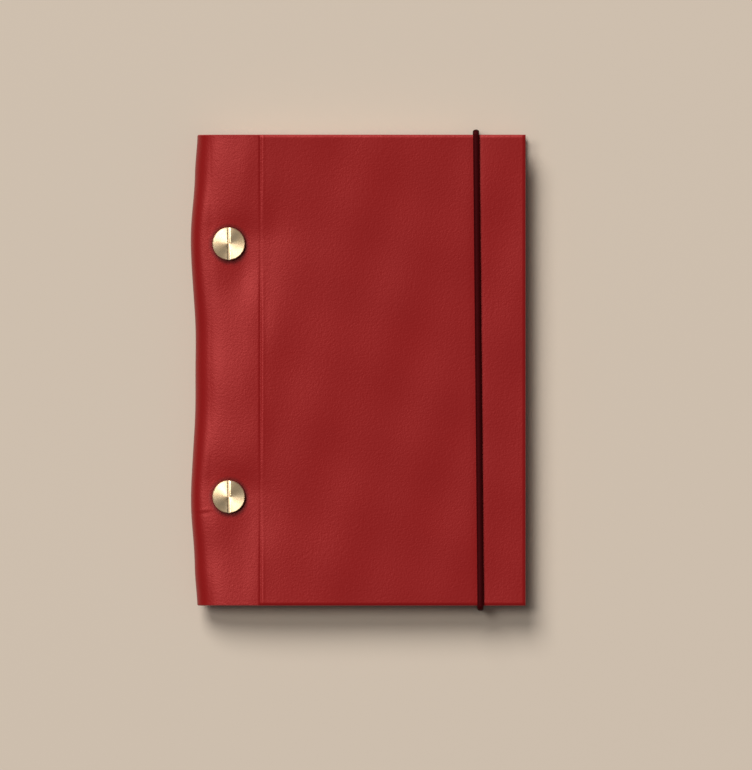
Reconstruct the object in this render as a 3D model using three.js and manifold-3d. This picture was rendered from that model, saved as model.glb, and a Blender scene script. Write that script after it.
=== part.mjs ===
// A small refillable notebook: one hide wrapped round a block of loose sheets, clamped at the
// spine by two slotted brass binding screws, and held shut by a loop of round elastic cord.
// Millimetres. It lies on its back cover: +Z is up, +Y runs to its head, +X to its fore edge.
// The origin is under the middle of its outline, on the surface that it lies on.
import * as THREE from "three";
import { mergeVertices } from "three/addons/utils/BufferGeometryUtils.js";
import Module from "manifold-3d";

const wasm = await Module();
wasm.setup();

// Hide
const COVER_WIDTH = 106; // spine nose to fore edge, where the screws press the spine flat
const COVER_HEIGHT = 149;
const LEATHER = 1.6;
const STRIP_WIDTH = 21.8; // spine nose to the scored crease, on the front and on the back
const CREASE_GAP = 0.3; // the living hinge, left open between the rigid stretches of the hide
const CREASE_CHAMFER = 0.5;
const SWELL = 0.6; // how far the strip swells off the sheets by the crease, between the screws
const STRIP_LEAN = 0.25; // how much of its swelling the strip loses on the way to the nose
const SPINE_INSET = 1.55; // how far the spine draws in where the strip swells
const END_INSET = 0.6; // how much further it draws in at head and tail
const END_REACH = 12; // length of the draw at each end
const PINCH_REACH = 17; // along the spine, from a screw to where its pinch has faded
const DIMPLE = 0.5; // depth of the pressed seat under each screw head
const DIMPLE_FADE = 6; // width of the slope round a seat
const FOLD_OUTSIDE = 2; // the swollen strip comes down to the covers' level so near the crease
const FOLD_INSIDE = 3.2;
const NOSE_START = 14.6; // from the crease to where the facets begin to follow the nose
const NOSE_SQUARE_PINCHED = 16; // exponent of the section's curve: more is squarer at the nose
const NOSE_SQUARE_SWOLLEN = 9;

// Sheets
const BUNDLES = 8;
const SHEETS_PER_BUNDLE = 10;
const SHEET = 0.1;
const SHEET_INSET = 2.2; // the hide overhangs the sheets at head, tail and fore edge
const BOUND_EDGE = 5; // from the hide's inner nose to the sheets' bound edge, at a screw
const BLOCK_PLAY = 0.15; // between the top and bottom sheets and the strip's inner faces

// Binding screws
const SCREW_SPACING = 80;
const SCREW_FROM_NOSE = 12.1;
const HEAD_DIAMETER = 10.2;
const HEAD_THICKNESS = 1.9;
const HEAD_EDGE = 0.35; // the turned chamfer round each head
const SLOT_WIDTH = 1.1;
const SLOT_DEPTH = 0.8;
const BARREL_DIAMETER = 5;
const BARREL_WALL = 0.55;
const BARREL_SHORT = 0.4; // the barrel stops this far under the screw's head
const SHANK_CLEARANCE = 0.1;
const SHANK_REACH = 7.5;
const HOLE_CLEARANCE = 0.3; // round the barrel, through the hide and the sheets
const HEAD_CLEARANCE = 0.3; // round a head, in its pressed seat

// Elastic cord
const CORD_WIDTH = 2; // its pull flattens it a little against the hide
const CORD_THICKNESS = 1.35;
const CORD_FROM_FORE_EDGE = 15;
const CORD_LEAN = 1.4; // across, over the height of the cover
const CORD_PLAY = 0.05; // between the cord and the covers
const CORD_END_PLAY = 0.3; // between the cord and the cover's head and tail edges
const CORD_BEND = 1; // radius of the cord's own line round a cover edge

// Facets
const ROUND_SIDES = 32;
const CORD_SIDES = 8;
const CORD_BEND_STEPS = 4;
const STRIP_STEPS = 4; // from the fold to where the nose begins
const FOLD_STEPS = 4;
const NOSE_STEPS = 8;
const SPINE_STEP = 5; // along the spine

const LEATHER_FINISH = { color: 0x8f2425, roughness: 0.55, metalness: 0 };
const PAPER_FINISH = { color: 0xefe6d0, roughness: 0.9, metalness: 0 };
const BRASS_FINISH = { color: 0xd9b56a, roughness: 0.28, metalness: 1 };
const CORD_FINISH = { color: 0x3c0a0e, roughness: 0.7, metalness: 0 };

// Levels, from the surface up. The cord and the barrels' heads both touch the surface.
const backFace = CORD_THICKNESS + CORD_PLAY;
const bundleThickness = SHEETS_PER_BUNDLE * SHEET;
const blockBottom = backFace + LEATHER;
const blockTop = blockBottom + BUNDLES * bundleThickness;
const frontFace = blockTop + LEATHER;
const midLevel = (backFace + frontFace) / 2;
const innerHalf = (blockTop - blockBottom) / 2;
const leafLevel = (count) => blockBottom + count * bundleThickness;

// Places across the cover
const nose = -COVER_WIDTH / 2;
const foreEdge = COVER_WIDTH / 2;
const crease = nose + STRIP_WIDTH;
const screwX = nose + SCREW_FROM_NOSE;
const boundEdge = nose + LEATHER + BOUND_EDGE;
const stripEdge = crease - CREASE_GAP / 2;
const screwYs = { upper: SCREW_SPACING / 2, lower: -SCREW_SPACING / 2 };
const headRadius = HEAD_DIAMETER / 2;
const seatRadius = headRadius + HEAD_CLEARANCE;
// Distances from the strip's edge at the crease, over its fold and then its level part
const stripPlaces = [
  ...Array.from({ length: FOLD_STEPS }, (_, i) => (FOLD_INSIDE * i) / FOLD_STEPS),
  ...Array.from(
    { length: STRIP_STEPS + 1 },
    (_, i) => FOLD_INSIDE + ((NOSE_START - FOLD_INSIDE) * i) / STRIP_STEPS,
  ),
];

function mesh(name, geometry, finish) {
  const made = new THREE.Mesh(geometry, new THREE.MeshStandardMaterial(finish));
  made.name = name;
  return made;
}

// A closed geometry as a solid that can be cut.
function solid(geometry) {
  const bare = geometry.clone();
  bare.deleteAttribute("normal");
  bare.deleteAttribute("uv");
  const merged = mergeVertices(bare, 1e-4);
  return new wasm.Manifold(
    new wasm.Mesh({
      numProp: 3,
      vertProperties: merged.attributes.position.array,
      triVerts: new Uint32Array(merged.index.array),
    }),
  );
}

function geometryOf(cut) {
  const { vertProperties, triVerts } = cut.getMesh();
  return new THREE.BufferGeometry()
    .setAttribute("position", new THREE.BufferAttribute(vertProperties, 3))
    .setIndex(new THREE.BufferAttribute(triVerts, 1));
}

// A block between two corners.
function block([x0, y0, z0], [x1, y1, z1]) {
  return new THREE.BoxGeometry(x1 - x0, y1 - y0, z1 - z0).translate(
    (x0 + x1) / 2,
    (y0 + y1) / 2,
    (z0 + z1) / 2,
  );
}

// An upright cylinder between two levels.
function drum(radius, x, y, z0, z1) {
  return new THREE.CylinderGeometry(radius, radius, z1 - z0, ROUND_SIDES)
    .rotateX(Math.PI / 2)
    .translate(x, y, (z0 + z1) / 2);
}

// Joins rings of points, each ring closed on itself, into a surface. The last ring meets the
// first one, or the two ends are left open.
function skin(rings, closed) {
  const across = rings[0].length;
  const position = rings.flat(2);
  const index = [];
  const spans = closed ? rings.length : rings.length - 1;
  for (let i = 0; i < spans; i++) {
    const next = (i + 1) % rings.length;
    for (let j = 0; j < across; j++) {
      const k = (j + 1) % across;
      const [a, b, c, d] = [i * across + j, i * across + k, next * across + k, next * across + j];
      index.push(a, c, b, a, d, c);
    }
  }
  return { position, index, across, last: (rings.length - 1) * across };
}

function bufferOf(position, index) {
  return new THREE.BufferGeometry()
    .setAttribute("position", new THREE.Float32BufferAttribute(position, 3))
    .setIndex(index);
}

const smooth = (t) => {
  const s = Math.min(Math.max(t, 0), 1);
  return s * s * (3 - 2 * s);
};

// 1 at a screw, fading to 0 along the spine.
function pinchAt(y) {
  const near = Math.min(...Object.values(screwYs).map((at) => Math.abs(y - at)));
  return Math.exp(-((near / PINCH_REACH) ** 2));
}

// 1 on the seat under a screw head, fading to 0 over the slope round it.
function seatAt(x, y) {
  const near = Math.min(...Object.values(screwYs).map((at) => Math.hypot(x - screwX, y - at)));
  return 1 - smooth((near - seatRadius) / DIMPLE_FADE);
}

// How far the strip's inner face stands off the sheets at a place, a share of the way from the
// crease to the nose.
function rise(x, y, share) {
  const free = (1 - pinchAt(y)) * (1 - seatAt(x, y));
  return BLOCK_PLAY + free * (SWELL - STRIP_LEAN * share);
}

// The strip's inner line at one place along the spine, from the front crease round the nose to
// the back crease, as [x, height from the middle]. It is a superellipse about the crease.
function innerLine(y) {
  const pinch = pinchAt(y);
  const endDraw = END_INSET * smooth((Math.abs(y) - COVER_HEIGHT / 2 + END_REACH) / END_REACH);
  const tip = nose + LEATHER + SPINE_INSET * (1 - pinch) + endDraw;
  const reach = stripEdge - tip;
  const square = NOSE_SQUARE_SWOLLEN + (NOSE_SQUARE_PINCHED - NOSE_SQUARE_SWOLLEN) * pinch;
  const place = (share) => {
    const x = stripEdge - share * reach;
    return [x, (innerHalf + rise(x, y, share)) * Math.sqrt(1 - share ** square)];
  };
  const front = stripPlaces.map((back) => place(back / reach));
  const firstTurn = Math.asin((NOSE_START / reach) ** (square / 2));
  for (let i = 1; i < NOSE_STEPS; i++) {
    const turn = firstTurn + (Math.PI / 2 - firstTurn) * (i / NOSE_STEPS);
    front.push(place(Math.sin(turn) ** (2 / square)));
  }
  const back = front.map(([x, up]) => [x, -up]).reverse();
  return [...front, [tip, 0], ...back];
}

// Lets a line of the swollen strip down to the covers' level within a fold beside the crease.
function folded(line, y, fold) {
  const step = rise(stripEdge, y, 0);
  return line.map(([x, up]) => {
    return [x, up - Math.sign(up) * step * (1 - smooth((stripEdge - x) / fold))];
  });
}

// Moves a line sideways by the leather's thickness.
function outerLine(inner) {
  return inner.map(([x, up], i) => {
    const [ax, au] = inner[Math.max(i - 1, 0)];
    const [bx, bu] = inner[Math.min(i + 1, inner.length - 1)];
    const ends = i === 0 || i === inner.length - 1;
    const length = Math.hypot(bx - ax, bu - au);
    const [nx, nu] = ends ? [0, Math.sign(up)] : [(bu - au) / length, -(bx - ax) / length];
    return [x + nx * LEATHER, up + nu * LEATHER];
  });
}

// Stations along the spine, with one at each screw.
function spineStations() {
  const half = COVER_HEIGHT / 2;
  const outerSteps = Math.max(2, Math.round((half - screwYs.upper) / SPINE_STEP));
  const innerSteps = Math.max(2, Math.round(screwYs.upper / SPINE_STEP));
  const upper = [];
  for (let i = 1; i <= innerSteps; i++) upper.push((screwYs.upper * i) / innerSteps);
  for (let i = 1; i <= outerSteps; i++) {
    upper.push(screwYs.upper + ((half - screwYs.upper) * i) / outerSteps);
  }
  return [...upper.map((y) => -y).reverse(), 0, ...upper];
}

// The wrap from crease to crease. Chamfers at its two free edges make half of each scored line.
function spineWrap() {
  const rings = spineStations().map((y) => {
    const base = innerLine(y);
    const inner = folded(base, y, FOLD_INSIDE);
    const outer = folded(outerLine(base), y, FOLD_OUTSIDE);
    const [endX, endUp] = outer[0];
    const shoulder = [endX - CREASE_CHAMFER, endUp];
    const lip = [endX, endUp - CREASE_CHAMFER];
    const across = [
      lip,
      shoulder,
      ...outer.slice(1, -1),
      [shoulder[0], -shoulder[1]],
      [lip[0], -lip[1]],
      ...inner.slice().reverse(),
    ];
    return across.map(([x, up]) => [x, y, midLevel + up]);
  });
  const { position, index, across, last } = skin(rings, false);
  // Each end is a thin band, closed by quads between its outer and inner lines.
  const outerCount = across - (2 * (stripPlaces.length + NOSE_STEPS) - 1);
  for (const [base, turned] of [
    [0, false],
    [last, true],
  ]) {
    const outerAt = (i) => base + i;
    const innerAt = (i) => base + across - 1 - i;
    const push = (a, b, c) => (turned ? index.push(a, c, b) : index.push(a, b, c));
    push(outerAt(0), outerAt(1), innerAt(0));
    for (let i = 1; i < outerCount - 2; i++) {
      push(outerAt(i), outerAt(i + 1), innerAt(i));
      push(outerAt(i), innerAt(i), innerAt(i - 1));
    }
    push(outerAt(outerCount - 2), outerAt(outerCount - 1), innerAt(outerCount - 3));
  }
  let wrap = solid(bufferOf(position, index));
  const frontSeat = frontFace - DIMPLE;
  const backSeat = backFace + DIMPLE;
  for (const y of Object.values(screwYs)) {
    const hole = drum(BARREL_DIAMETER / 2 + HOLE_CLEARANCE, screwX, y, 0, frontFace + HEAD_THICKNESS);
    const above = drum(seatRadius, screwX, y, frontSeat, frontSeat + HEAD_THICKNESS);
    const below = drum(seatRadius, screwX, y, backSeat - HEAD_THICKNESS, backSeat);
    for (const cutter of [hole, above, below]) wrap = wrap.subtract(solid(cutter));
  }
  return geometryOf(wrap);
}

// A cover from its crease to the fore edge. The outer face is towards side, 1 up or -1 down.
function cover(side) {
  const face = side > 0 ? frontFace : backFace;
  const left = crease + CREASE_GAP / 2;
  const profile = [
    [left + CREASE_CHAMFER, face],
    [foreEdge, face],
    [foreEdge, face - side * LEATHER],
    [left, face - side * LEATHER],
    [left, face - side * CREASE_CHAMFER],
  ];
  const shape = new THREE.Shape(profile.map(([x, z]) => new THREE.Vector2(x, z)));
  return new THREE.ExtrudeGeometry(shape, { depth: COVER_HEIGHT, bevelEnabled: false })
    .rotateX(Math.PI / 2)
    .translate(0, COVER_HEIGHT / 2, 0);
}

// A bundle's bound margin, punched for the two barrels.
function margin(count) {
  const half = COVER_HEIGHT / 2 - SHEET_INSET;
  let made = solid(
    block([boundEdge, -half, leafLevel(count)], [stripEdge, half, leafLevel(count + 1)]),
  );
  for (const y of Object.values(screwYs)) {
    const punch = drum(BARREL_DIAMETER / 2 + HOLE_CLEARANCE, screwX, y, backFace, frontFace);
    made = made.subtract(solid(punch));
  }
  return geometryOf(made);
}

// The same bundle from the crease to the fore edge, which turns.
function leaves(count) {
  const half = COVER_HEIGHT / 2 - SHEET_INSET;
  return block(
    [crease + CREASE_GAP / 2, -half, leafLevel(count)],
    [foreEdge - SHEET_INSET, half, leafLevel(count + 1)],
  );
}

function lathe(profile, x, y) {
  const points = profile.map(([r, z]) => new THREE.Vector2(r, z));
  return new THREE.LatheGeometry(points, ROUND_SIDES).rotateX(Math.PI / 2).translate(x, y, 0);
}

// The barrel half of a binding screw, with its plain head under the back of the hide.
function barrel(y) {
  const seat = backFace + DIMPLE;
  const foot = seat - HEAD_THICKNESS;
  const rim = frontFace - DIMPLE - BARREL_SHORT;
  const outside = BARREL_DIAMETER / 2;
  const bore = outside - BARREL_WALL;
  const profile = [
    [0, foot],
    [headRadius - HEAD_EDGE, foot],
    [headRadius, foot + HEAD_EDGE],
    [headRadius, seat],
    [outside, seat],
    [outside, rim],
    [bore, rim],
    [bore, seat],
    [0, seat],
  ];
  return lathe(profile, screwX, y);
}

// The screw half: a slotted head over the front of the hide, and a shank down the barrel.
function screw(y) {
  const seat = frontFace - DIMPLE;
  const crown = seat + HEAD_THICKNESS;
  const shank = BARREL_DIAMETER / 2 - BARREL_WALL - SHANK_CLEARANCE;
  const reach = Math.min(SHANK_REACH, seat - (backFace + DIMPLE) - BARREL_SHORT);
  const profile = [
    [0, seat - reach],
    [shank, seat - reach],
    [shank, seat],
    [headRadius, seat],
    [headRadius, crown - HEAD_EDGE],
    [headRadius - HEAD_EDGE, crown],
    [0, crown],
  ];
  const slot = block(
    [screwX - SLOT_WIDTH / 2, y - HEAD_DIAMETER, crown - SLOT_DEPTH],
    [screwX + SLOT_WIDTH / 2, y + HEAD_DIAMETER, crown + SLOT_DEPTH],
  );
  return geometryOf(solid(lathe(profile, screwX, y)).subtract(solid(slot)));
}

// The cord's closed line round the shut covers, as [y, z, outward direction]: four straight
// runs joined by quarter turns.
function cordLine() {
  const halfY = COVER_HEIGHT / 2 + CORD_END_PLAY + CORD_THICKNESS / 2;
  const top = frontFace + CORD_PLAY + CORD_THICKNESS / 2;
  const bottom = backFace - CORD_PLAY - CORD_THICKNESS / 2;
  const corners = [
    [halfY - CORD_BEND, top - CORD_BEND],
    [-halfY + CORD_BEND, top - CORD_BEND],
    [-halfY + CORD_BEND, bottom + CORD_BEND],
    [halfY - CORD_BEND, bottom + CORD_BEND],
  ];
  return corners.flatMap(([y, z], quarter) =>
    Array.from({ length: CORD_BEND_STEPS + 1 }, (_, i) => {
      const out = (Math.PI / 2) * (quarter + i / CORD_BEND_STEPS);
      return [y + CORD_BEND * Math.cos(out), z + CORD_BEND * Math.sin(out), out];
    }),
  );
}

// The loop of cord. Its section has a flat towards the covers and one away from them.
function elasticLoop() {
  const corner = 1 / Math.cos(Math.PI / CORD_SIDES);
  const rings = cordLine().map(([y, z, out]) =>
    Array.from({ length: CORD_SIDES }, (_, j) => {
      const round = (2 * Math.PI * (j + 0.5)) / CORD_SIDES;
      const off = (CORD_THICKNESS / 2) * corner * Math.cos(round);
      const side = (CORD_WIDTH / 2) * corner * Math.sin(round);
      return [side, y + off * Math.cos(out), z + off * Math.sin(out)];
    }),
  );
  const { position, index } = skin(rings, true);
  return bufferOf(position, index)
    .rotateZ(Math.atan2(CORD_LEAN, COVER_HEIGHT))
    .translate(foreEdge - CORD_FROM_FORE_EDGE, 0, 0);
}

const notebook = new THREE.Group();
notebook.add(mesh("spine_wrap", spineWrap(), LEATHER_FINISH));
notebook.add(mesh("front_cover", cover(1), LEATHER_FINISH));
notebook.add(mesh("back_cover", cover(-1), LEATHER_FINISH));
for (let i = 0; i < BUNDLES; i++) {
  // Bundle 1 is the first that a reader meets, under the front cover.
  const count = BUNDLES - 1 - i;
  notebook.add(mesh(`leaf_margin_${i + 1}`, margin(count), PAPER_FINISH));
  notebook.add(mesh(`leaves_${i + 1}`, leaves(count), PAPER_FINISH));
}
for (const [name, y] of Object.entries(screwYs)) {
  notebook.add(mesh(`barrel_${name}`, barrel(y), BRASS_FINISH));
  notebook.add(mesh(`screw_${name}`, screw(y), BRASS_FINISH));
}
notebook.add(mesh("elastic_loop", elasticLoop(), CORD_FINISH));

export default notebook;
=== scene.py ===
"""A small refillable notebook: one hide wrapped round a block of loose sheets, clamped beside
the spine by two slotted brass binding screws, and held shut by a loop of elastic cord.

It lies on its back cover. +Z is up, +Y runs to its head and +X to its fore edge. Arrays of
points are in millimetres, and become metres when they are put into a mesh.
"""

import math

import bmesh
import bpy
import numpy as np
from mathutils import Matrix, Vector


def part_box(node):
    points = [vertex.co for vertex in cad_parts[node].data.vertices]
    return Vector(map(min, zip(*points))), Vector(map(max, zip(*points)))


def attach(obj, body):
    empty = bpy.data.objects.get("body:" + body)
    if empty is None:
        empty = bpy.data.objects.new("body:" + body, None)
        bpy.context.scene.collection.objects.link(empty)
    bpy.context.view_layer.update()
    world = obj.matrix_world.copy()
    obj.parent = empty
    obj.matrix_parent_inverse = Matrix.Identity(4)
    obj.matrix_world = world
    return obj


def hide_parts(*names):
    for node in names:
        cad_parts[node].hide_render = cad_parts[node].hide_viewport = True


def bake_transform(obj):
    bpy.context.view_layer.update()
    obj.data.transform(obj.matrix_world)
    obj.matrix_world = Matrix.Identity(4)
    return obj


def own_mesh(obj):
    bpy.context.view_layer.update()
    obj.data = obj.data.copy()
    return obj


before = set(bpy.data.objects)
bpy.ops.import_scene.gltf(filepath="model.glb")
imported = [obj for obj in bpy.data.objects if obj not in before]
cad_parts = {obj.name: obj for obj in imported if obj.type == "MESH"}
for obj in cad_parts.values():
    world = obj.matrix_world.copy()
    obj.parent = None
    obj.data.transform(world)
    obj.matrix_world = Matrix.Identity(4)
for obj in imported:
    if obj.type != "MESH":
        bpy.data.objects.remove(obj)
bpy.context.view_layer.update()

# The view. The notebook is seen from straight above through a long lens, a little high and
# left of the picture's middle. The distance between the screws gives the picture's scale.
MM = 0.001
PICTURE_PIXELS = (752, 770)
COVER_CENTRE_PIXEL = (358.1, 370.2)
SCREW_SPACING_PIXELS = 253
CAMERA_HEIGHT = 4000
CAMERA_REACH = 20  # metres
SENSOR = 36


def box_of(node):
    """A node's lowest and highest corner in millimetres, as two arrays."""
    low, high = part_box(node)
    return np.array(low) / MM, np.array(high) / MM


cover_low, cover_high = box_of("front_cover")
screw_boxes = [box_of("screw_upper"), box_of("screw_lower")]
screw_centres = [(low + high) / 2 for low, high in screw_boxes]
mm_per_pixel = (screw_centres[0][1] - screw_centres[1][1]) / SCREW_SPACING_PIXELS
aim_x, aim_y = [
    (half - centre) * mm_per_pixel
    for half, centre in zip(np.array(PICTURE_PIXELS) / 2, COVER_CENTRE_PIXEL)
]

camera = bpy.data.objects.new("camera", bpy.data.cameras.new("camera"))
bpy.context.collection.objects.link(camera)
bpy.context.scene.camera = camera
camera.location = Vector((aim_x, -aim_y, CAMERA_HEIGHT)) * MM
camera.data.sensor_width = SENSOR
camera.data.lens = SENSOR * (CAMERA_HEIGHT - cover_high[2]) / (max(PICTURE_PIXELS) * mm_per_pixel)
camera.data.clip_end = CAMERA_REACH

# The studio: a pale matt floor, a dim even dome, a broad lamp beyond the head of the notebook
# that throws its shadow towards the tail, and a smaller one high on the left that gives the
# gleam along the spine.
FLOOR_SIZE = 3000
FLOOR_COLOUR = (0.62, 0.53, 0.44)
FLOOR_ROUGHNESS = 0.95
FLOOR_SHINE = 0.1
DOME_COLOUR = (1, 0.99, 0.98)
DOME_STRENGTH = 0.12
# Each lamp: azimuth and elevation in degrees, apparent width in degrees, share of the light.
LAMPS = {"head_lamp": (115, 47, 30, 0.68), "left_lamp": (150, 70, 16, 0.24)}
LAMP_COLOUR = (1, 0.985, 0.96)
LAMP_DISTANCE = 20  # metres


def put(tree, kind, settings=None, **inputs):
    """Adds a node. Settings are its own properties. Inputs are values or sockets, by the
    socket's name, with _ for a space."""
    node = tree.nodes.new(kind)
    for name, value in (settings or {}).items():
        setattr(node, name, value)
    for name, value in inputs.items():
        socket = node.inputs[name.replace("_", " ")]
        if isinstance(value, bpy.types.NodeSocket):
            tree.links.new(value, socket)
        else:
            socket.default_value = value
    return node


def finish_of(name):
    """A new material: its node tree, with its one shader in it."""
    made = bpy.data.materials.new(name)
    made.use_nodes = True
    return made, made.node_tree, made.node_tree.nodes["Principled BSDF"]


def settle(shader, **values):
    """Sets plain values on a shader's own sockets, by their names, with _ for a space. A colour
    is three numbers."""
    for name, value in values.items():
        value = (*value, 1) if isinstance(value, tuple) else value
        shader.inputs[name.replace("_", " ")].default_value = value


floor_mesh = bpy.data.meshes.new("floor")
half_floor = FLOOR_SIZE * MM / 2
floor_mesh.from_pydata(
    [(x * half_floor, y * half_floor, 0) for x, y in ((-1, -1), (1, -1), (1, 1), (-1, 1))],
    [],
    [(0, 1, 2, 3)],
)
floor = bpy.data.objects.new("floor", floor_mesh)
bpy.context.collection.objects.link(floor)
floor_finish, _, floor_shader = finish_of("floor")
settle(
    floor_shader,
    Base_Color=FLOOR_COLOUR,
    Roughness=FLOOR_ROUGHNESS,
    Specular_IOR_Level=FLOOR_SHINE,
)
floor_mesh.materials.append(floor_finish)

world = bpy.data.worlds.new("dome")
bpy.context.scene.world = world
world.use_nodes = True
settle(world.node_tree.nodes["Background"], Color=DOME_COLOUR, Strength=DOME_STRENGTH)

for name, (azimuth, elevation, width, share) in LAMPS.items():
    lamp = bpy.data.objects.new(name, bpy.data.lights.new(name, "AREA"))
    bpy.context.collection.objects.link(lamp)
    azimuth, elevation = math.radians(azimuth), math.radians(elevation)
    level_part = math.cos(elevation)
    towards = Vector(
        (math.cos(azimuth) * level_part, math.sin(azimuth) * level_part, math.sin(elevation))
    )
    lamp.location = towards * LAMP_DISTANCE
    lamp.rotation_euler = towards.to_track_quat("Z", "Y").to_euler()
    lamp.data.shape = "DISK"
    lamp.data.size = 2 * LAMP_DISTANCE * math.tan(math.radians(width / 2))
    lamp.data.color = LAMP_COLOUR
    lamp.data.energy = share * (math.pi * LAMP_DISTANCE) ** 2 / math.sin(elevation)

scene = bpy.context.scene
scene.view_settings.view_transform = "Standard"

# The hide round the spine: one strip of 1.6 mm leather from the front crease round the nose to
# the back crease, held by the two screws. They press it down and push the nose out beside them,
# and between them it swells off the sheets and draws in. Each head sits in a shallow pocket.
BLOCK_PLAY = 0.15  # between the block and the hide
SWELL = 0.75  # how far the hide stands off by the crease, between the screws
COVER_LIFT_REACH = 80  # how far over a cover that fades
SQUEEZE = 0.9  # how much thinner each half of the block is at the sheets' bound edge
SQUEEZE_POWER = 1.6
HUG_START = 1.5  # how gently the screws' press lets go at a pocket's rim
HUG_REACHES = (4.5, 22)
HUG_STRETCH = (0.4, 0.6, 0.4)  # what a millimetre towards nose, cover and tail counts
HUG_LENGTH = 3
LEVEL_REACH = 4  # these three say the same of how level a head holds the hide about it
LEVEL_STRETCH = (1.2, 1, 1)
LEVEL_LENGTH = 7
HEAD_THICKNESS = 2.35  # from a head's top down to its foot
POCKET_DEPTH = 0.2
POCKET_GAP = 0.3  # from a head's rim to its pocket's
BARREL_RADIUS = 2.5
HOLE_GAP = 0.3  # from a barrel to its hole
PUNCH_ENDS = (-5, 25)  # well below and above the notebook
PUNCH_SIDES = 96
PINCH_REACH = 17  # width of the bell, along the spine, in which a screw pinches it
SPINE_INSET = 1.55  # how far the nose draws in where it isn't pinched
END_INSET = 0.6  # how much further it draws in at head and tail
END_REACH = 12  # over how long a stretch
NOSE_START = 14.6  # from the crease to where the nose's own lines begin
NOSE_SQUARE = (7, 18)  # the section's power where it is swollen, and where it is pinched
SCORE_DEPTH = 0.17
SCORE_LEAST = 0.15  # share of the score's depth that is left beside the screws
SCORE_PLACE = 0.35
SCORE_WIDTH = 0.42
LIP_OFFSET = 1.1
LIP_WIDTH = 0.6
LIP_SHARE = 0.2
SAG_START = 6  # how far from the crease the hide's slow unevenness has set in
SAG_WAVES = ((61, 23, 0.4, 0.05), (37, -52, 1.9, 0.045), (-19, 83, 4.1, 0.03))
TUCK = (-48.7, -44.2)  # the wrinkle beside the lower screw
TUCK_HEIGHT = 0.05
TUCK_LENGTH = 2.3
TUCK_WIDTH = 0.5
TUCK_SLANT = 0.12
TUCK_DIP = (1.1, 0.6, 0.8)  # how far below the wrinkle, how wide, share of its height
EDGE_ROUND = 0.28
EDGE_ROWS = 5
STRIP_LINES = (64, 221)  # from crease to nose, and from tail to head
NOSE_LINES = 38  # round each half of the nose
LEATHER_RED = (0.24, 0.0075, 0.0075)
LEATHER_DEEP = (0.205, 0.005, 0.0055)
LEATHER_GLOSS = (1, 0.2, 0.19)
LEATHER_SHINE = 0.95
LEATHER_ROUGHNESS = (0.34, 0.4)
CUT_ROUGHNESS = 0.35  # how much rougher the cut edges and the flesh side are
CUT_BAND = (0.15, 0.9)  # of the mark lies_on, where the dye gives way to the cut edge's colour
FLESH_BAND = (1.6, 1.95)  # and where that gives way to the flesh side's
PEBBLE_SIZE = 0.5
PEBBLE_SHARE = -0.9  # of the grain's height: each pebble falls away from its middle
SPECKLE_SIZE = 0.8
SPECKLE_SHARE = 0.7
GRAIN_HEIGHT = 0.046
TONE_SIZE = 30
TONE_SHARE = 0.4  # how far the deep dye shows in patches
PORE_SHARE = 0.3  # and in the pores
FUZZ_SIZE = 0.25
# Painted shade: a dark ring in the hide's colour round each head's rim, standing in for the shade
# in the head's pocket. Below: how far it reaches, how dark, and its colour.
HEAD_SHADE_REACH = 1.8  # from a head's rim
HEAD_SHADE_SHARE = 0.85
HEAD_SHADE_COLOUR = (0.03, 0.003, 0.003)
FLESH_COLOUR = (0.36, 0.115, 0.085)
CUT_COLOUR = (0.4, 0.075, 0.068)

back_low = box_of("back_cover")[0]
wrap_low, wrap_high = box_of("spine_wrap")
leather = cover_high[2] - cover_low[2]
middle = (cover_high[2] + back_low[2]) / 2
inner_half = (cover_high[2] - back_low[2]) / 2 - leather
crease = (wrap_high[0] + cover_low[0]) / 2
bound_edge = box_of("leaf_margin_1")[0][0]
nose = wrap_low[0]
head_radius = (screw_boxes[0][1][0] - screw_boxes[0][0][0]) / 2
head_foot = screw_boxes[0][1][2] - HEAD_THICKNESS
half_height = cover_high[1]


def smooth(t):
    """0 below 0, 1 above 1, and 3t^2 - 2t^3 between."""
    t = np.clip(t, 0, 1)
    return t * t * (3 - 2 * t)


def bell(x, width):
    """exp(-(x / width)^2)."""
    return np.exp(-((x / width) ** 2))


def lines(low, high, count, busy=(), samples=6001):
    """count values from low to high, closer about each (place, reach, gain) of busy: equal
    steps in the running sum, over the samples, of 1 + gain * bell(x - place, reach)."""
    fine = np.linspace(low, high, samples)
    density = np.ones_like(fine)
    density += sum(gain * bell(fine - place, reach) for place, reach, gain in busy)
    running = np.concatenate([[0], np.cumsum(density[1:])])
    return np.interp(np.linspace(0, running[-1], count), running, fine)


def pinch(y):
    """1 level with a screw, fading to 0 along the spine as a bell."""
    return np.maximum.reduce([bell(y - centre[1], PINCH_REACH) for centre in screw_centres])


def off_heads(x, y, stretch, length):
    """For each screw, how far a point lies off the pocket of its head, which counts as drawn out
    by that length towards the tail. Distances off it are scaled by the stretch, and the result
    starts gently: start * log(1 + exp(distance / start))."""
    distances = []
    for centre in screw_centres:
        off_x = x - centre[0]
        off_y = y - np.clip(y, centre[1] - length, centre[1])
        off_x = off_x * np.where(off_x < 0, stretch[0], stretch[1])
        off_y = off_y * np.where(off_y < 0, stretch[2], 1)
        beyond = np.hypot(off_x, off_y) - head_radius - POCKET_GAP
        distances.append(HUG_START * np.log1p(np.exp(beyond / HUG_START)))
    return distances


def hug(x, y):
    """How closely the screws press the hide down. Each presses with the mean of exp(-d / reach)
    over the two reaches, and the two together with 1 - (1 - first)(1 - second)."""
    free = 1
    for distance in off_heads(x, y, HUG_STRETCH, HUG_LENGTH):
        free = free * (1 - sum(np.exp(-distance / reach) for reach in HUG_REACHES) / 2)
    return 1 - free


def levelled(x, y):
    """How level a head holds the hide about it, mostly below it: the sum of exp(-d / reach)."""
    return sum(np.exp(-d / LEVEL_REACH) for d in off_heads(x, y, LEVEL_STRETCH, LEVEL_LENGTH))


def squeeze(x):
    """How much the screws' pull thins half of the block: with a power of the way from the
    crease to its bound edge."""
    return SQUEEZE * np.clip((crease - x) / (crease - bound_edge), 0, 1) ** SQUEEZE_POWER


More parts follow.
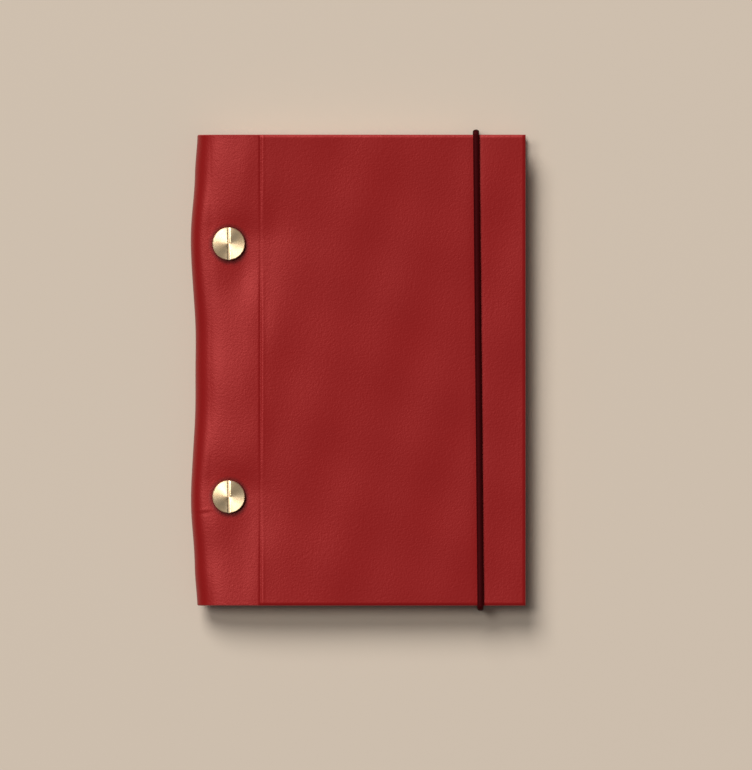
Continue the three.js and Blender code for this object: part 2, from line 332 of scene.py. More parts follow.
def rise(x, y):
    """How far the hide's inner face stands off the level block: the play and a swelling, which
    fade away over the cover and are drawn down round the screws, less the squeeze."""
    lifted = (BLOCK_PLAY + SWELL) * (1 - smooth((x - crease) / COVER_LIFT_REACH))
    return lifted * (1 - hug(x, y)) - squeeze(x)


def pressed(x, y):
    """How much thinner the screws press the hide: enough to put its face near a pocket's depth
    above the foot of their heads, and to make up there for the sheets' slope."""
    drop = cover_high[2] - head_foot - POCKET_DEPTH
    squeezed = squeeze(screw_centres[0][0])
    return hug(x, y) * (drop - squeezed) - levelled(x, y) * (squeeze(x) - squeezed)


def score(dx, y):
    """The scored crease: minus a narrow bell at the line, plus a low lip on the cover's side,
    both shallower beside the screws."""
    depth = SCORE_DEPTH * (SCORE_LEAST + (1 - SCORE_LEAST) * (1 - pinch(y)))
    lip = LIP_SHARE * bell(dx - LIP_OFFSET, LIP_WIDTH)
    return depth * (lip - bell(dx - SCORE_PLACE, SCORE_WIDTH))


def sag(x, y):
    """The hide's slow unevenness: a sum of long sine waves, each of (wave length along x and
    along y, phase, height)."""
    waves = [
        height * np.sin(2 * np.pi * (x / along_x + y / along_y) + phase)
        for along_x, along_y, phase, height in SAG_WAVES
    ]
    return sum(waves)


def tuck_relief(x, y):
    """A short raised wrinkle across the nose, tapering at both ends, with a dip beside it: a
    bell along it, times a bell across it less a lower one a little below."""
    dip_place, dip_width, dip_share = TUCK_DIP
    along = bell(x - TUCK[0], TUCK_LENGTH)
    off = y - TUCK[1] - TUCK_SLANT * (x - TUCK[0])
    dip = dip_share * bell(off + dip_place, dip_width)
    return TUCK_HEIGHT * along * (bell(off, TUCK_WIDTH) - dip)


def grid_normals(points):
    """Unit normals of a grid of points: the cross product of its two directions."""
    across = np.cross(np.gradient(points, axis=0), np.gradient(points, axis=1))
    return across / np.linalg.norm(across, axis=-1, keepdims=True)


def slab(outer, inner, rounding, rows, sides=(1, 1, 1, 1)):
    """A closed sheet between two grids of points of one shape. Its cut edges bulge by rounding
    along a squarish curve, except on a side whose number is 0: first u, last u, first v, last
    v. Gives the points, the quads, and what each point lies on: 0 outer face, 1 cut, 2 inner."""
    count_u, count_v = outer.shape[:2]

    def unit(v):
        return v / np.linalg.norm(v, axis=-1, keepdims=True)

    away = np.zeros_like(outer)
    away[0] += sides[0] * unit(outer[0] - outer[1])
    away[-1] += sides[1] * unit(outer[-1] - outer[-2])
    away[:, 0] += sides[2] * unit(outer[:, 0] - outer[:, 1])
    away[:, -1] += sides[3] * unit(outer[:, -1] - outer[:, -2])
    number = np.arange(count_u * count_v).reshape(count_u, count_v)
    rim = np.concatenate([number[:, 0], number[-1, 1:], number[-2::-1, -1], number[0, -2:0:-1]])
    down = np.arange(1, rows + 1)[:, None, None] / (rows + 1)
    bulge = rounding * (1 - np.abs(2 * down - 1) ** 3) ** (1 / 3)
    flat_outer, flat_inner, flat_away = (a.reshape(-1, 3) for a in (outer, inner, away))
    side = flat_outer[rim] * (1 - down) + flat_inner[rim] * down + flat_away[rim] * bulge
    points = np.concatenate([flat_outer, side.reshape(-1, 3), flat_inner])
    first_side = number.size
    first_inner = first_side + rows * rim.size
    face = np.stack([number[:-1, :-1], number[1:, :-1], number[1:, 1:], number[:-1, 1:]], -1)
    face = face.reshape(-1, 4)
    loops = [rim]
    loops += [first_side + row * rim.size + np.arange(rim.size) for row in range(rows)]
    loops += [first_inner + rim]
    band = [
        np.stack([np.roll(a, -1), a, b, np.roll(b, -1)], -1) for a, b in zip(loops, loops[1:])
    ]
    quads = np.concatenate([face, *band, first_inner + face[:, ::-1]])
    lies_on = np.repeat([0.0, 1.0, 2.0], [number.size, rows * rim.size, number.size])
    return points, quads, lies_on


def piece_of(name, points, faces, **marks):
    """A smooth-shaded object from points in millimetres and arrays of faces, turned the right
    way out by the sign of its volume. Marks are values at the points, kept as attributes."""
    faces = faces if isinstance(faces, list) else [faces]
    size = sum(
        np.einsum("ij,ij->i", points[f[:, 0]], np.cross(points[f[:, k]], points[f[:, k + 1]])).sum()
        for f in faces
        for k in range(1, f.shape[1] - 1)
    )
    faces = faces if size > 0 else [f[:, ::-1] for f in faces]
    mesh = bpy.data.meshes.new(name)
    corners = np.concatenate([f.ravel() for f in faces]).astype(np.int32)
    widths = np.concatenate([np.full(len(f), f.shape[1]) for f in faces])
    mesh.vertices.add(len(points))
    mesh.vertices.foreach_set("co", (points * MM).astype(np.float32).ravel())
    mesh.loops.add(len(corners))
    mesh.loops.foreach_set("vertex_index", corners)
    mesh.polygons.add(len(widths))
    starts = np.concatenate([[0], np.cumsum(widths)[:-1]]).astype(np.int32)
    mesh.polygons.foreach_set("loop_start", starts)
    mesh.update(calc_edges=True)
    mesh.validate()
    mesh.shade_smooth()
    for mark, values in marks.items():
        attribute = mesh.attributes.new(mark, "FLOAT", "POINT")
        attribute.data.foreach_set("value", np.asarray(values, np.float32))
    made = bpy.data.objects.new(name, mesh)
    bpy.context.collection.objects.link(made)
    return made


def cut_from(piece, *cutters):
    """Cuts the cutters out of the piece, and removes them."""
    for cutter in cutters:
        cut = piece.modifiers.new("cut", "BOOLEAN")
        cut.operation, cut.solver, cut.object = "DIFFERENCE", "EXACT", cutter
    apply_modifiers(piece)
    for cutter in cutters:
        bpy.data.objects.remove(cutter)


def apply_modifiers(piece):
    """Puts what the modifiers make into the piece's own mesh."""
    bpy.context.view_layer.update()
    graph = bpy.context.evaluated_depsgraph_get()
    made = bpy.data.meshes.new_from_object(piece.evaluated_get(graph), depsgraph=graph)
    piece.modifiers.clear()
    piece.data = made


def turned(profile, centre, steps):
    """The points and faces of a solid of revolution about the upright line through centre. The
    profile is (radius, height) points, and its first and last points lie on the line."""
    radii, heights = np.array(profile, float).T
    angle = np.linspace(0, 2 * np.pi, steps, endpoint=False)[None, :]
    ring_r, ring_z = radii[1:-1, None], heights[1:-1, None]
    rings = np.stack(
        [
            centre[0] + ring_r * np.cos(angle),
            centre[1] + ring_r * np.sin(angle),
            ring_z + 0 * angle,
        ],
        -1,
    )
    count = len(radii) - 2
    number = np.arange(count * steps).reshape(count, steps)
    after = np.roll(number, -1, axis=1)
    quads = np.stack([number[:-1], after[:-1], after[1:], number[1:]], -1).reshape(-1, 4)
    first, last = count * steps, count * steps + 1
    start_cap = np.stack([np.full(steps, first), after[0], number[0]], -1)
    end_cap = np.stack([np.full(steps, last), number[-1], after[-1]], -1)
    poles = [[centre[0], centre[1], heights[0]], [centre[0], centre[1], heights[-1]]]
    return np.concatenate([rings.reshape(-1, 3), poles]), [quads, start_cap, end_cap]


def new_group(name, inputs, outputs):
    """An empty shader node group with these sockets, each (name, kind)."""
    group = bpy.data.node_groups.new(name, "ShaderNodeTree")
    for socket, kind in inputs:
        group.interface.new_socket(socket, in_out="INPUT", socket_type=f"NodeSocket{kind}")
    for socket, kind in outputs:
        group.interface.new_socket(socket, in_out="OUTPUT", socket_type=f"NodeSocket{kind}")
    return group, put(group, "NodeGroupInput"), put(group, "NodeGroupOutput")


def reckon(tree, operation, *values):
    """One Math node's value."""
    node = put(tree, "ShaderNodeMath", {"operation": operation})
    for socket, value in zip(node.inputs, values):
        if isinstance(value, bpy.types.NodeSocket):
            tree.links.new(value, socket)
        else:
            socket.default_value = value
    return node.outputs[0]


def mixed(tree, share, a, b):
    """A colour between a and b. Each is a colour of three numbers or a socket."""
    node = put(tree, "ShaderNodeMix", {"data_type": "RGBA"})
    for index, value in ((0, share), (6, a), (7, b)):
        if isinstance(value, bpy.types.NodeSocket):
            tree.links.new(value, node.inputs[index])
        else:
            node.inputs[index].default_value = value if index == 0 else (*value, 1)
    return node.outputs[2]


# Slow mottling that leather, paper, brass and cord all have, each at its own size: layered
# noise, whose middle range is spread over 0 to 1.
MOTTLE_LAYERS = 4
MOTTLE_ROUGHNESS = 0.55
MOTTLE_RANGE = (0.32, 0.68)
mottle, mottle_in, mottle_out = new_group(
    "mottle", [("Place", "Vector"), ("Size", "Float")], [("Amount", "Float")]
)
mottle_noise = put(
    mottle,
    "ShaderNodeTexNoise",
    Vector=mottle_in.outputs["Place"],
    Scale=reckon(mottle, "DIVIDE", 1, mottle_in.outputs["Size"]),
    Detail=MOTTLE_LAYERS,
    Roughness=MOTTLE_ROUGHNESS,
)
mottle_spread = put(
    mottle,
    "ShaderNodeMapRange",
    Value=mottle_noise.outputs[0],
    From_Min=MOTTLE_RANGE[0],
    From_Max=MOTTLE_RANGE[1],
)
mottle.links.new(mottle_spread.outputs[0], mottle_out.inputs["Amount"])


def place_in(tree):
    """The point's place on its piece, in metres."""
    return put(tree, "ShaderNodeTexCoord").outputs["Object"]


def mottled(tree, place, size):
    """The mottle group's amount, with patches of that size in millimetres."""
    node = put(tree, "ShaderNodeGroup", {"node_tree": mottle}, Place=place, Size=size * MM)
    return node.outputs[0]


def emboss(tree, shader, height, depth, strength):
    """Bumps a shader's surface by a height, of which 1 is that depth in millimetres."""
    bump = put(tree, "ShaderNodeBump", Strength=strength, Distance=depth * MM, Height=height)
    tree.links.new(bump.outputs[0], shader.inputs["Normal"])


def from_screw_axis(tree, place):
    """A point's distance from the nearer screw's axis, in metres: the screws lie level with each
    other, as far above the middle as below it."""
    apart = put(tree, "ShaderNodeSeparateXYZ", Vector=place)
    off_x = reckon(tree, "SUBTRACT", apart.outputs[0], screw_centres[0][0] * MM)
    along = reckon(tree, "ABSOLUTE", apart.outputs[1])
    off_y = reckon(tree, "SUBTRACT", along, screw_centres[0][1] * MM)
    squares = [reckon(tree, "MULTIPLY", off, off) for off in (off_x, off_y)]
    return reckon(tree, "SQRT", reckon(tree, "ADD", *squares))


def leather_finish():
    """Dyed leather: a fine pebbled grain with darker pores, slow changes of tone, a dark ring of
    painted shade round the screws' heads, a fuzzy paler flesh side, and dressed cut edges between
    the two."""
    made, tree, shader = finish_of("leather")
    place = place_in(tree)
    lies_on = put(tree, "ShaderNodeAttribute", {"attribute_name": "lies_on"}).outputs["Fac"]
    cut, flesh = [
        put(tree, "ShaderNodeMapRange", Value=lies_on, From_Min=low, From_Max=high)
        for low, high in (CUT_BAND, FLESH_BAND)
    ]
    pebbles = put(tree, "ShaderNodeTexVoronoi", Vector=place, Scale=1 / (PEBBLE_SIZE * MM))
    tone = mottled(tree, place, TONE_SIZE)
    speckle = mottled(tree, place, SPECKLE_SIZE)
    fuzz = mottled(tree, place, FUZZ_SIZE)
    domes = reckon(tree, "MULTIPLY", pebbles.outputs["Distance"], PEBBLE_SHARE)
    grain = reckon(tree, "ADD", domes, reckon(tree, "MULTIPLY", speckle, SPECKLE_SHARE))
    dye = mixed(tree, reckon(tree, "MULTIPLY", tone, TONE_SHARE), LEATHER_RED, LEATHER_DEEP)
    pored = mixed(tree, reckon(tree, "MULTIPLY", speckle, PORE_SHARE), dye, LEATHER_DEEP)
    # Painted shade: the dye darkens towards each head's rim, where the pocket lies in shade.
    head_shade = put(
        tree,
        "ShaderNodeMapRange",
        {"interpolation_type": "SMOOTHSTEP"},
        Value=from_screw_axis(tree, place),
        From_Min=head_radius * MM,
        From_Max=(head_radius + HEAD_SHADE_REACH) * MM,
        To_Min=HEAD_SHADE_SHARE,
        To_Max=0,
    )
    head_shaded = mixed(tree, head_shade.outputs[0], pored, HEAD_SHADE_COLOUR)
    edged = mixed(tree, cut.outputs[0], head_shaded, CUT_COLOUR)
    flesh_tone = mixed(tree, fuzz, FLESH_COLOUR, CUT_COLOUR)
    tree.links.new(mixed(tree, flesh.outputs[0], edged, flesh_tone), shader.inputs["Base Color"])
    worn = put(
        tree,
        "ShaderNodeMapRange",
        Value=reckon(tree, "ADD", tone, speckle),
        From_Max=2,
        To_Min=LEATHER_ROUGHNESS[0],
        To_Max=LEATHER_ROUGHNESS[1],
    )
    dull = reckon(tree, "MULTIPLY", reckon(tree, "MINIMUM", cut.outputs[0], 1), CUT_ROUGHNESS)
    tree.links.new(reckon(tree, "ADD", worn.outputs[0], dull), shader.inputs["Roughness"])
    emboss(tree, shader, grain, GRAIN_HEIGHT, strength=0.4)
    settle(shader, Specular_IOR_Level=LEATHER_SHINE, Specular_Tint=LEATHER_GLOSS)
    return made


# The section's inner line is a superellipse about the crease: with s the share of the way to the
# nose, the height is (half the block + rise) * sqrt(1 - s^power). Lines of x give the level
# part, and equal steps of the angle whose sine is s^(power / 2) give the nose. Lines lie closer
# together by the crease and by the heads' rims.
strip_x = lines(
    crease,
    crease - NOSE_START,
    STRIP_LINES[0],
    [(crease, 1.2, 7), (screw_centres[0][0] + head_radius, 1.5, 1)],
)
strip_y = lines(
    -half_height + EDGE_ROUND,
    half_height - EDGE_ROUND,
    STRIP_LINES[1],
    [(c[1] + s * head_radius, 2.2, 2) for c in screw_centres for s in (-1, 1)],
)
held = pinch(strip_y)
end_draw = END_INSET * smooth((np.abs(strip_y) - half_height + END_REACH) / END_REACH)
reach = crease - (nose + leather + SPINE_INSET * (1 - held) + end_draw)
square = NOSE_SQUARE[0] + (NOSE_SQUARE[1] - NOSE_SQUARE[0]) * held
flat_share = (crease - strip_x)[:, None] / reach
first_turn = np.arcsin(flat_share[-1] ** (square / 2))
turn = first_turn + (np.pi / 2 - first_turn) * np.linspace(0, 1, NOSE_LINES)[1:, None]
share = np.concatenate([flat_share, np.sin(turn) ** (2 / square)])
upright = np.concatenate([np.sqrt(1 - flat_share**square), np.cos(turn)])
half_x = crease - share * reach
half_y = np.broadcast_to(strip_y, half_x.shape)
half_up = (inner_half + rise(half_x, half_y)) * upright
wrap_x, wrap_y, faces_up = (np.concatenate([a, a[-2::-1]]) for a in (half_x, half_y, upright))
wrap_up = np.concatenate([half_up, -half_up[-2::-1]])
wrap_inner = np.stack([wrap_x, wrap_y, middle + wrap_up], -1)
wrap_out = -grid_normals(wrap_inner)
# In the last millimetre before the crease the leather's thickness turns upright, as on a cover.
wrap_out[..., 0] *= smooth(crease - wrap_x)
wrap_out /= np.linalg.norm(wrap_out, axis=-1, keepdims=True)
wrap_relief = (
    score(wrap_x - crease, wrap_y)
    - pressed(wrap_x, wrap_y) * faces_up
    + sag(wrap_x, wrap_y) * smooth((crease - wrap_x) / SAG_START)
    + tuck_relief(wrap_x, wrap_y) * (wrap_up > 0)
)
wrap_outer = wrap_inner + wrap_out * (leather + wrap_relief)[..., None]
strip_points, strip_quads, strip_lies_on = slab(
    wrap_outer, wrap_inner, EDGE_ROUND, EDGE_ROWS, sides=(0, 0, 1, 1)
)
strip = piece_of("hide_spine", strip_points, strip_quads, lies_on=strip_lies_on)


def punches(pocket_radius):
    """Two tall drums, a little wider than the barrels, that cut the holes for them. Above the
    foot of the front heads and below that of the back ones they have the pocket's radius."""
    drum_radius = BARREL_RADIUS + HOLE_GAP
    back_foot = 2 * middle - head_foot
    low_end, high_end = PUNCH_ENDS
    profile = [
        (0, low_end),
        (pocket_radius, low_end),
        (pocket_radius, back_foot),
        (drum_radius, back_foot),
        (drum_radius, head_foot),
        (pocket_radius, head_foot),
        (pocket_radius, high_end),
        (0, high_end),
    ]
    return [piece_of("punch", *turned(profile, centre, PUNCH_SIDES)) for centre in screw_centres]


def plain_edges(piece, angle=32):
    """Shades a piece smooth except where two faces meet at more than that many degrees."""
    piece.data.set_sharp_from_angle(angle=math.radians(angle))


cut_from(strip, *punches(head_radius + POCKET_GAP))
plain_edges(strip)
leather_red = leather_finish()
strip.data.materials.append(leather_red)
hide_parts("spine_wrap")
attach(strip, "binding")

# The two covers, stretches of the same hide from each crease to the fore edge. The scored
# line is the hinge. The cord's pull has pressed a shallow line into each.
COVER_LINES = (131, 171)  # from crease to fore edge, and from tail to head
CORD_DENT = 0.07
CORD_DENT_WIDTH = 1.7
CORD_LEAN = math.atan2(1.4, 149)  # 1.4 mm over the height of the cover
cord_low, cord_high = box_of("elastic_loop")
cord_middle = (cord_low + cord_high) / 2


def from_cord(x, y):
    """How far a point of a cover lies from the cord's line, which leans a little."""
    return (x - cord_middle[0]) + y * math.tan(CORD_LEAN)


def cover_piece(name, face, side):
    """A cover as a slab between two grids. Beside the crease it stands off the block a little,
    less where the screws press it down. Its grain side also has the score, the cord's dent and
    the hide's slow unevenness."""
    busy = [(crease + 0.8, 2.0, 12), (cord_middle[0], 2.5, 2)]
    xs = lines(crease, cover_high[0] - EDGE_ROUND, COVER_LINES[0], busy)
    ys = lines(-half_height + EDGE_ROUND, half_height - EDGE_ROUND, COVER_LINES[1])
    x, y = np.meshgrid(xs, ys, indexing="ij")
    relief = (
        score(x - crease, y)
        - pressed(x, y)
        + sag(x, y) * smooth((x - crease) / SAG_START)
        - CORD_DENT * bell(from_cord(x, y), CORD_DENT_WIDTH)
    )
    outer = np.stack([x, y, face + side * (rise(x, y) + relief)], -1)
    inner = np.stack([x, y, face + side * (rise(x, y) - leather)], -1)
    points, quads, lies_on = slab(outer, inner, EDGE_ROUND, EDGE_ROWS, sides=(0, 1, 1, 1))
    made = piece_of(name, points, quads, lies_on=lies_on)
    made.data.materials.append(leather_red)
    return made


front = cover_piece("hide_front", cover_high[2], 1)
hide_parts("front_cover")
back = cover_piece("hide_back", back_low[2], -1)
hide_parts("back_cover")
for cover, body, level in (
    (front, "front_cover", cover_high[2]),
    (back, "back_cover", back_low[2]),
):
    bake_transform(cover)

# The loose sheets, two-hole punched, in bundles of ten. Each sheet is its own thin slab, and
# the ten lie a hair out of line. Beside the strip they thin as the block is squeezed, and their
# lines lie closer where they would bend round its edge.
BUNDLES = 8
SHEETS = 10
SHEET_SHARE = 0.9  # a sheet's thickness as a share of its place in the bundle
SHEET_STRAY = 0.16  # the most that a sheet lies in from the fore edge, or up or down
SHEET_BEND = 2.4
SHEET_LINES = (4, 23, 8)  # over the margin, over the bend, and over the rest
SHEET_ROWS = 7
SHEET_HOLE = 2.81  # a hair more than a drum's own radius, so that no points of it fall together
SHUFFLE_SEED = 7
PAPER_COLOUR = (0.86, 0.8, 0.67)
PAPER_SHADE = (0.78, 0.7, 0.55)
PAPER_ROUGHNESS = 0.92
PAPER_SHINE = 0.2
CLOUD_SIZE = 9
CLOUD_SHARE = 0.3
FIBRE_SIZE = 0.35
FIBRE_SHARE = 0.25
FIBRE_HEIGHT = 0.02


def paper_finish():
    """Uncoated writing paper: warm white with faint cloudiness and a fibrous tooth."""
    made, tree, shader = finish_of("paper")
    place = place_in(tree)
    cloud = mottled(tree, place, CLOUD_SIZE)
    fibre = mottled(tree, place, FIBRE_SIZE)
    faint = reckon(tree, "MULTIPLY", cloud, CLOUD_SHARE)
    tone = reckon(tree, "ADD", faint, reckon(tree, "MULTIPLY", fibre, FIBRE_SHARE))
    tree.links.new(mixed(tree, tone, PAPER_COLOUR, PAPER_SHADE), shader.inputs["Base Color"])
    emboss(tree, shader, fibre, FIBRE_HEIGHT, strength=0.3)
    settle(shader, Roughness=PAPER_ROUGHNESS, Specular_IOR_Level=PAPER_SHINE)
    return made


paper = paper_finish()
shuffle = np.random.default_rng(SHUFFLE_SEED)
for bundle in range(1, BUNDLES + 1):
    margin_low = box_of(f"leaf_margin_{bundle}")[0]
    leaves_low, leaves_high = box_of(f"leaves_{bundle}")
    pitch = (leaves_high[2] - leaves_low[2]) / SHEETS
    sheet_x = np.concatenate(
        [
            lines(margin_low[0], crease - 1, SHEET_LINES[0])[:-1],
            lines(crease - 1, crease + SHEET_BEND + 1, SHEET_LINES[1])[:-1],
            lines(crease + SHEET_BEND + 1, leaves_high[0], SHEET_LINES[2]),
        ]
    )
    sheet_y = lines(leaves_low[1], leaves_high[1], SHEET_ROWS)
    x, y = np.meshgrid(sheet_x, sheet_y, indexing="ij")
    level = np.full_like(x, leaves_low[2])
    sheet_points, sheet_quads, _ = slab(
        np.stack([x, y, level + pitch * SHEET_SHARE], -1), np.stack([x, y, level], -1), 0, 0
    )
    stray = shuffle.uniform(-SHEET_STRAY, 0, (SHEETS, 3)) * (1, 2, 0)
    stray[:, 1] += SHEET_STRAY
    stray[:, 2] = pitch * np.arange(SHEETS)
    stack_points = (sheet_points[None] + stray[:, None]).reshape(-1, 3)
    thinned = 1 - squeeze(stack_points[:, 0]) / inner_half
    stack_points[:, 2] = middle + (stack_points[:, 2] - middle) * thinned
    first_points = len(sheet_points) * np.arange(SHEETS)[:, None, None]
    stack_quads = (sheet_quads[None] + first_points).reshape(-1, 4)
    sheets = piece_of(f"sheets_{bundle}", stack_points, stack_quads)
    cut_from(sheets, *punches(SHEET_HOLE))
    sheets.data.materials.append(paper)
    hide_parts(f"leaf_margin_{bundle}", f"leaves_{bundle}")
    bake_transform(sheets)

# The binding screws, turned from brass: a barrel with a plain head under the back of the hide,
# and a slotted screw that goes down it from the front. The heads are faced on the lathe, so
# they carry fine rings, and their rims have a small chamfer.
HEAD_EDGE = 0.2
HEAD_CROWN = 0.1
SLOT_WIDTH = 0.95
SLOT_DEPTH = 0.95
SLOT_PAST = 2  # how far the slot's cutter stands above the head
BURR = 0.05
BURR_ANGLE = 60
DUST = 0.002  # edges shorter than this are dissolved once the burr is rounded
BARREL_WALL = 0.55
SHANK_CLEARANCE = 0.1
SHANK_CHAMFER = 0.3
TURN_STEPS = 128
BRASS_COLOUR = (1, 0.78, 0.5)
BRASS_DEEP = (0.86, 0.59, 0.32)
BRASS_ROUGHNESS = (0.36, 0.44)
BRASS_STRETCH = 0.82  # how much the rings stretch a gleam
BRASS_STRETCH_TURN = 0.25  # which way, in turns from the tangent
RING_PITCH = 0.23
RING_HEIGHT = 0.004
RING_WAVER = 0.6
TARNISH_SIZE = 2.4
TARNISH_SHARE = 0.5


def brass_finish():
    """Turned brass: fine rings about each piece's own axis, a stretched gleam across them, and
    faint tarnish."""
    made, tree, shader = finish_of("brass")
    place = place_in(tree)
    tarnish = mottled(tree, place, TARNISH_SIZE)
    waver = reckon(tree, "MULTIPLY", tarnish, RING_WAVER)
    turns = reckon(tree, "MULTIPLY", from_screw_axis(tree, place), 2 * math.pi / (RING_PITCH * MM))
    rings = reckon(tree, "SINE", reckon(tree, "ADD", turns, waver))
    tree.links.new(
        mixed(tree, reckon(tree, "MULTIPLY", tarnish, TARNISH_SHARE), BRASS_COLOUR, BRASS_DEEP),
        shader.inputs["Base Color"],
    )
    rough = put(
        tree,
        "ShaderNodeMapRange",
        Value=tarnish,
        To_Min=BRASS_ROUGHNESS[0],
        To_Max=BRASS_ROUGHNESS[1],
    )
    tree.links.new(rough.outputs[0], shader.inputs["Roughness"])
    emboss(tree, shader, rings, RING_HEIGHT, strength=0.5)
    tangent = put(tree, "ShaderNodeTangent", {"direction_type": "RADIAL", "axis": "Z"})
    tree.links.new(tangent.outputs[0], shader.inputs["Tangent"])
    settle(
        shader,
        Metallic=1,
        Anisotropic=BRASS_STRETCH,
        Anisotropic_Rotation=BRASS_STRETCH_TURN,
    )
    return made


brass = brass_finish()


def face_points(outer, inner, height, crown, count=9):
    """Points across a turned face from one radius to another: its height at the axis, less the
    crown times the square of the share of the head's radius."""
    radii = np.linspace(outer, inner, count)
    return list(zip(radii, height - crown * (radii / head_radius) ** 2))


for side, centre in zip(("upper", "lower"), screw_centres):
    barrel_low, barrel_high = box_of(f"barrel_{side}")
    head_top = barrel_low[2] + HEAD_THICKNESS
    bore = BARREL_RADIUS - BARREL_WALL
    barrel_profile = [
        *face_points(0, head_radius - HEAD_EDGE, barrel_low[2], -HEAD_CROWN),
        (head_radius, barrel_low[2] + HEAD_CROWN + HEAD_EDGE),
        (head_radius, head_top),
        (BARREL_RADIUS, head_top),
        (BARREL_RADIUS, barrel_high[2]),
        (bore, barrel_high[2]),
        (bore, head_top),
        (0, head_top),
    ]
    barrel = piece_of(f"brass_barrel_{side}", *turned(barrel_profile, centre, TURN_STEPS))
    plain_edges(barrel)
    barrel.data.materials.append(brass)
    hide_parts(f"barrel_{side}")
    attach(barrel, "binding")

    screw_low, screw_high = box_of(f"screw_{side}")
    shank = bore - SHANK_CLEARANCE
    screw_profile = [
        (0, screw_low[2]),
        (shank - SHANK_CHAMFER, screw_low[2]),
        (shank, screw_low[2] + SHANK_CHAMFER),
        (shank, head_foot),
        (head_radius, head_foot),
        (head_radius, screw_high[2] - HEAD_CROWN - HEAD_EDGE),
        *face_points(head_radius - HEAD_EDGE, 0, screw_high[2], HEAD_CROWN),
    ]
    screw = piece_of(f"brass_screw_{side}", *turned(screw_profile, centre, TURN_STEPS))
    slot_x, slot_y = np.array([-1, 1]) * SLOT_WIDTH / 2, np.array([-1, 1]) * 2 * head_radius
    slot_z = screw_high[2] + np.array([-SLOT_DEPTH, SLOT_PAST])
    corner = np.array([[x, y, z] for z in slot_z for y in slot_y for x in slot_x])
    corner[:, :2] += centre[:2]
    slot_faces = np.array(
        [[0, 2, 3, 1], [4, 5, 7, 6], [0, 1, 5, 4], [2, 6, 7, 3], [0, 4, 6, 2], [1, 3, 7, 5]]
    )
    cut_from(screw, piece_of("slot", corner, slot_faces))
    burr = screw.modifiers.new("burr", "BEVEL")
    burr.width, burr.segments, burr.limit_method = BURR * MM, 2, "ANGLE"
    burr.angle_limit = math.radians(BURR_ANGLE)
    apply_modifiers(screw)
    clean = bmesh.new()
    clean.from_mesh(screw.data)
    bmesh.ops.dissolve_degenerate(clean, dist=DUST * MM, edges=clean.edges)
    clean.to_mesh(screw.data)
    clean.free()
    plain_edges(screw)
    screw.data.materials.append(brass)
    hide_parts(f"screw_{side}")
    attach(screw, f"screw_{side}")

# The closing cord: a closed loop of round elastic with a braided cover over a rubber core. It
# goes up the front, over the head, down the back and round the tail, flattened by its pull.
CORD_WIDTH = 2.0
CORD_THICKNESS = 1.35
CORD_BEND = 1
BRAID_AROUND = 4  # waves of the braid round the cord
BRAID_LAY = 1.7  # the length of cord in which it repeats
BRAID_HEIGHT = 0.045
BRAID_POWER = 0.7  # under 1 makes the crowns of the strands broader
CORD_STEP = 0.16
CORD_SIDES = 32
CORD_COLOUR = (0.024, 0.0006, 0.001)
CORD_CROWN_COLOUR = (0.05, 0.002, 0.003)
CORD_GLOSS = (1, 0.2, 0.22)
CORD_ROUGHNESS = 0.55
CORD_SHINE = 0.16
STRAND_SIZE = 0.5
NAP_SIZE = 0.12
NAP_HEIGHT = 0.02


def cord_finish():
    """Braided elastic: near-black wine red, paler on the crowns of the strands."""
    made, tree, shader = finish_of("elastic")
    place = place_in(tree)
    crown = put(tree, "ShaderNodeAttribute", {"attribute_name": "crown"}).outputs["Fac"]
    strand = reckon(tree, "MULTIPLY", crown, mottled(tree, place, STRAND_SIZE))
    tree.links.new(mixed(tree, strand, CORD_COLOUR, CORD_CROWN_COLOUR), shader.inputs["Base Color"])
    emboss(tree, shader, mottled(tree, place, NAP_SIZE), NAP_HEIGHT, strength=0.4)
    settle(
        shader,
        Roughness=CORD_ROUGHNESS,
        Specular_IOR_Level=CORD_SHINE,
        Specular_Tint=CORD_GLOSS,
    )
    return made


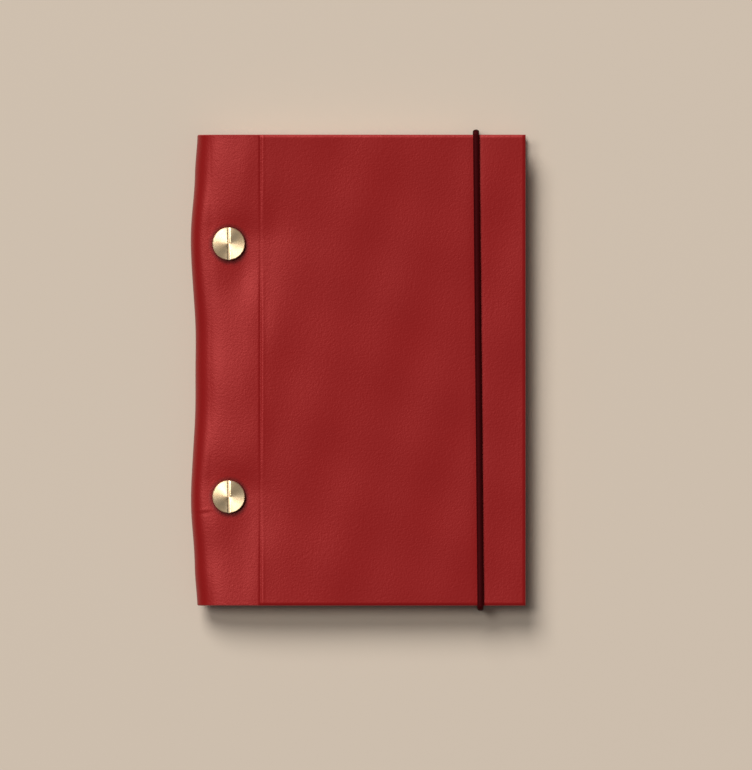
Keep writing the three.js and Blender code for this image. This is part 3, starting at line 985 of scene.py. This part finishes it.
half_run_y = cord_high[1] - CORD_THICKNESS / 2 - CORD_BEND
half_run_z = (cord_high[2] - cord_low[2]) / 2 - CORD_THICKNESS / 2 - CORD_BEND
quarter = CORD_BEND * math.pi / 2
cord_length = 4 * (half_run_y + half_run_z + quarter)
lays = round(cord_length / BRAID_LAY)
along = np.linspace(0, cord_length, round(cord_length / CORD_STEP), endpoint=False)
knots = np.cumsum([0, *([2 * half_run_z, quarter, 2 * half_run_y, quarter] * 2)])
# Each quarter turn adds a right angle to the way out, and the straight runs add nothing.
way_out = np.interp(along, knots, np.array([0, 0, 1, 1, 2, 2, 3, 3, 4]) * math.pi / 2)
corner_y = np.interp(along, knots, np.array([1, 1, 1, -1, -1, -1, -1, 1, 1]) * half_run_y)
corner_z = np.interp(along, knots, np.array([-1, 1, 1, 1, 1, -1, -1, -1, -1]) * half_run_z)
line_y = corner_y + CORD_BEND * np.cos(way_out)
line_z = cord_middle[2] + corner_z + CORD_BEND * np.sin(way_out)
around = np.linspace(0, 2 * np.pi, CORD_SIDES, endpoint=False)[None, :]
lay_turn = (2 * np.pi * lays * along / cord_length)[:, None]
one_way = np.cos(BRAID_AROUND * around + lay_turn)
other_way = np.cos(BRAID_AROUND * around - lay_turn)
crown = np.abs(one_way * other_way) ** BRAID_POWER
off = (CORD_THICKNESS / 2 - BRAID_HEIGHT * (1 - crown)) * np.cos(around)
sideways = (CORD_WIDTH / 2 - BRAID_HEIGHT * (1 - crown)) * np.sin(around)
out_y, out_z = np.cos(way_out)[:, None], np.sin(way_out)[:, None]
upright_y = line_y[:, None] + off * out_y
cord_z = line_z[:, None] + off * out_z
lean_cos, lean_sin = math.cos(CORD_LEAN), math.sin(CORD_LEAN)
cord_x = sideways * lean_cos - upright_y * lean_sin + cord_middle[0]
cord_y = sideways * lean_sin + upright_y * lean_cos
cord_points = np.stack([cord_x, cord_y, cord_z], -1)
number = np.arange(cord_points[..., 0].size).reshape(cord_points.shape[:2])
ahead, beside = np.roll(number, -1, axis=0), np.roll(number, -1, axis=1)
cord_quads = np.stack([number, beside, np.roll(ahead, -1, axis=1), ahead], -1).reshape(-1, 4)
cord = piece_of("closing_cord", cord_points.reshape(-1, 3), cord_quads, crown=crown.ravel())
cord.data.materials.append(cord_finish())
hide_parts("elastic_loop")
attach(cord, "elastic")
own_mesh(cord)
